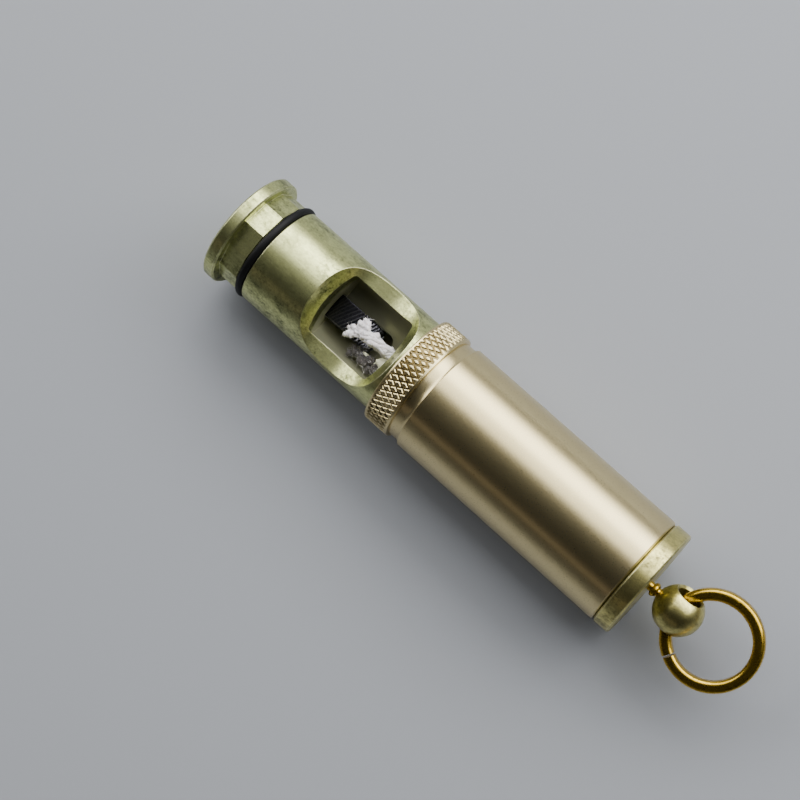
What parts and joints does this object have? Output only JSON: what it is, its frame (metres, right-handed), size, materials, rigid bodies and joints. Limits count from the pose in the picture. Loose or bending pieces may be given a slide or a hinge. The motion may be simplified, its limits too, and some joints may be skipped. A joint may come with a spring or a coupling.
{
  "type": "flint spark lighter",
  "caption": "Pocket capsule lighter: brass barrel with flint wheel and wick in a scalloped window, shut by a knurled sliding sleeve, with a swivelling key ring.",
  "frame": {"origin": "centre of the flange's flat outer face, on the axis of the barrel", "axes": "+X along the barrel from the flange to the key ring, +Z out of the flame window, lying on its side as on a table"},
  "size_m": [0.0763, 0.0142, 0.0142],
  "materials": {
    "aged_brass": "aged satin brass with olive patina",
    "bronze": "satin rosy bronze",
    "bright_brass": "polished",
    "seal_rubber": "matt black",
    "blackened_steel": "blackened and serrated",
    "bright_steel": "drawn and ground",
    "ferrocerium": "dull grey",
    "cotton": "frayed white cotton",
    "felt": "pressed felt"
  },
  "bodies": {
    "barrel": {"barrel": "aged_brass", "lower_o_ring": "seal_rubber", "wheel_axle": "bright_steel", "flint_tube": "aged_brass", "flint_spring": "bright_steel", "wick_plate": "aged_brass", "wick": "cotton", "cotton_wadding": "cotton", "felt_plug": "felt"},
    "sleeve": {"slide_sleeve": "bronze"},
    "striker_wheel": {"flint_wheel": "blackened_steel"},
    "flint": {"flint": "ferrocerium", "flint_pusher": "bright_steel"},
    "plug_seal": {"upper_o_ring": "seal_rubber"},
    "plug": {"top_plug": "aged_brass"},
    "cap_seal": {"end_cap_o_ring": "seal_rubber"},
    "cap": {"end_cap": "aged_brass", "seal_disc": "aged_brass", "swivel_washer": "bright_steel"},
    "swivel": {"swivel_stem": "bright_brass", "swivel_ball": "aged_brass"},
    "ring": {"key_ring": "bright_brass"}
  },
  "joints": [
    {"name": "sleeve_slide", "type": "slide", "parent": "barrel", "child": "sleeve", "axis": [-1, 0, 0], "range_m": [0, 0.0212]},
    {"name": "wheel_spin", "type": "hinge", "parent": "barrel", "child": "striker_wheel", "pos_m": [0.01665, 0, -0.0026], "axis": [0, 1, 0], "continuous": true},
    {"name": "flint_feed", "type": "slide", "parent": "barrel", "child": "flint", "axis": [-1, 0, 0], "range_m": [0, 0.0009], "stiffness_N_per_m": 50, "deforming": ["flint_spring"]},
    {"name": "plug_lift", "type": "slide", "parent": "barrel", "child": "plug_seal", "axis": [-1, 0, 0], "range_m": [0, 0.0038]},
    {"name": "plug_turn", "type": "hinge", "parent": "plug_seal", "child": "plug", "pos_m": [0, 0, 0], "axis": [-1, 0, 0], "range_deg": [0, 1800]},
    {"name": "cap_lift", "type": "slide", "parent": "barrel", "child": "cap_seal", "axis": [1, 0, 0], "range_m": [0, 0.0038]},
    {"name": "cap_turn", "type": "hinge", "parent": "cap_seal", "child": "cap", "pos_m": [0.06155, 0, 0], "axis": [1, 0, 0], "range_deg": [0, 1800]},
    {"name": "ball_swivel", "type": "hinge", "parent": "cap", "child": "swivel", "pos_m": [0.0657, 0, 0], "axis": [1, 0, 0], "continuous": true},
    {"name": "ring_swing", "type": "hinge", "parent": "swivel", "child": "ring", "pos_m": [0.0657, 0, 0], "axis": [0, 0.9063, 0.4226], "range_deg": [-110, 110]}
  ],
  "couplings": [
    {"joint": "plug_lift", "follows": "plug_turn", "m_per_rad": 0.00011937},
    {"joint": "cap_lift", "follows": "cap_turn", "m_per_rad": 0.00011937}
  ]
}
